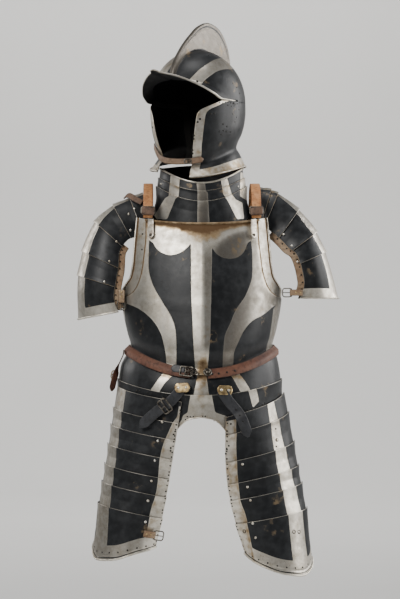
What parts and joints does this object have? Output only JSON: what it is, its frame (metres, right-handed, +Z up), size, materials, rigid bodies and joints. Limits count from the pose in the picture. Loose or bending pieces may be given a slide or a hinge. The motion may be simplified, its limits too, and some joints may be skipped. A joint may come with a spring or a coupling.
{
  "type": "corselet armour",
  "caption": "Black and bright half armour: combed helmet with cheekpieces, collar, laminated shoulders, ridged breastplate, backplate, belt, skirt and laminated leg defences.",
  "frame": {"origin": "where the collar rests on the wearer's shoulders, on the body's middle plane", "axes": "+Z up, the front faces -Y, +X is the wearer's left"},
  "size_m": [0.579, 0.3063, 1.2052],
  "materials": {
    "plate": "blackened and bright steel, worn satin",
    "tan_leather": "worn tan leather",
    "brown_leather": "dark brown leather",
    "black_leather": "black leather",
    "iron": "dull iron"
  },
  "bodies": {
    "armour": {"helmet_skull": "plate", "helmet_cheek_right": "plate", "helmet_cheek_left": "plate", "helmet_nape": "plate", "chin_strap": "brown_leather", "collar_upper": "plate", "collar_lower": "plate", "gorget_front": "plate", "gorget_back": "plate", "breastplate": "plate", "backplate": "plate", "gusset_right": "plate", "gusset_left": "plate", "belt": "brown_leather", "fauld_upper": "plate", "fauld_lower": "plate", "tasset_right_1": "plate", "tasset_right_2": "plate", "tasset_right_3": "plate", "tasset_right_4": "plate", "tasset_right_5": "plate", "tasset_right_6": "plate", "tasset_right_7": "plate", "tasset_left_1": "plate", "tasset_left_2": "plate", "tasset_left_3": "plate", "tasset_left_4": "plate", "tasset_left_5": "plate", "tasset_left_6": "plate", "spaudler_right_1": "plate", "spaudler_right_2": "plate", "spaudler_right_3": "plate", "spaudler_right_4": "plate", "spaudler_right_5": "plate", "spaudler_right_6": "plate", "spaudler_left_1": "plate", "spaudler_left_2": "plate", "spaudler_left_3": "plate", "spaudler_left_4": "plate", "spaudler_left_5": "plate", "spaudler_left_6": "plate", "spaudler_leather_right": "tan_leather", "spaudler_leather_left": "tan_leather", "shoulder_strap_right": "tan_leather", "shoulder_buckle_right": "iron", "shoulder_tongue_right": "plate", "shoulder_strap_left": "tan_leather", "shoulder_buckle_left": "iron", "shoulder_tongue_left": "plate", "belt_buckle": "iron", "side_strap": "brown_leather", "tasset_strap_right": "black_leather", "tasset_strap_left": "black_leather", "tasset_buckle_right": "iron", "buckle_tab_right_arm": "brown_leather", "buckle_tab_left_arm": "brown_leather", "buckle_tab_tasset": "brown_leather"},
    "right_arm_buckle": {"buckle_right_arm": "iron"},
    "left_arm_buckle": {"buckle_left_arm": "iron"},
    "tasset_buckle": {"buckle_tasset": "iron"}
  },
  "joints": [
    {"name": "right_arm_buckle_swing", "type": "hinge", "parent": "armour", "child": "right_arm_buckle", "pos_m": [-0.1743, -0.0704, -0.211], "axis": [1, 0, 0], "range_deg": [-80, 0]},
    {"name": "left_arm_buckle_swing", "type": "hinge", "parent": "armour", "child": "left_arm_buckle", "pos_m": [0.194, -0.0711, -0.193], "axis": [0, 0, -1], "range_deg": [-80, 0]},
    {"name": "tasset_buckle_swing", "type": "hinge", "parent": "armour", "child": "tasset_buckle", "pos_m": [-0.104, -0.15031, -0.709], "axis": [-0.1703, -0.0034, -0.9854], "range_deg": [0, 80]}
  ]
}
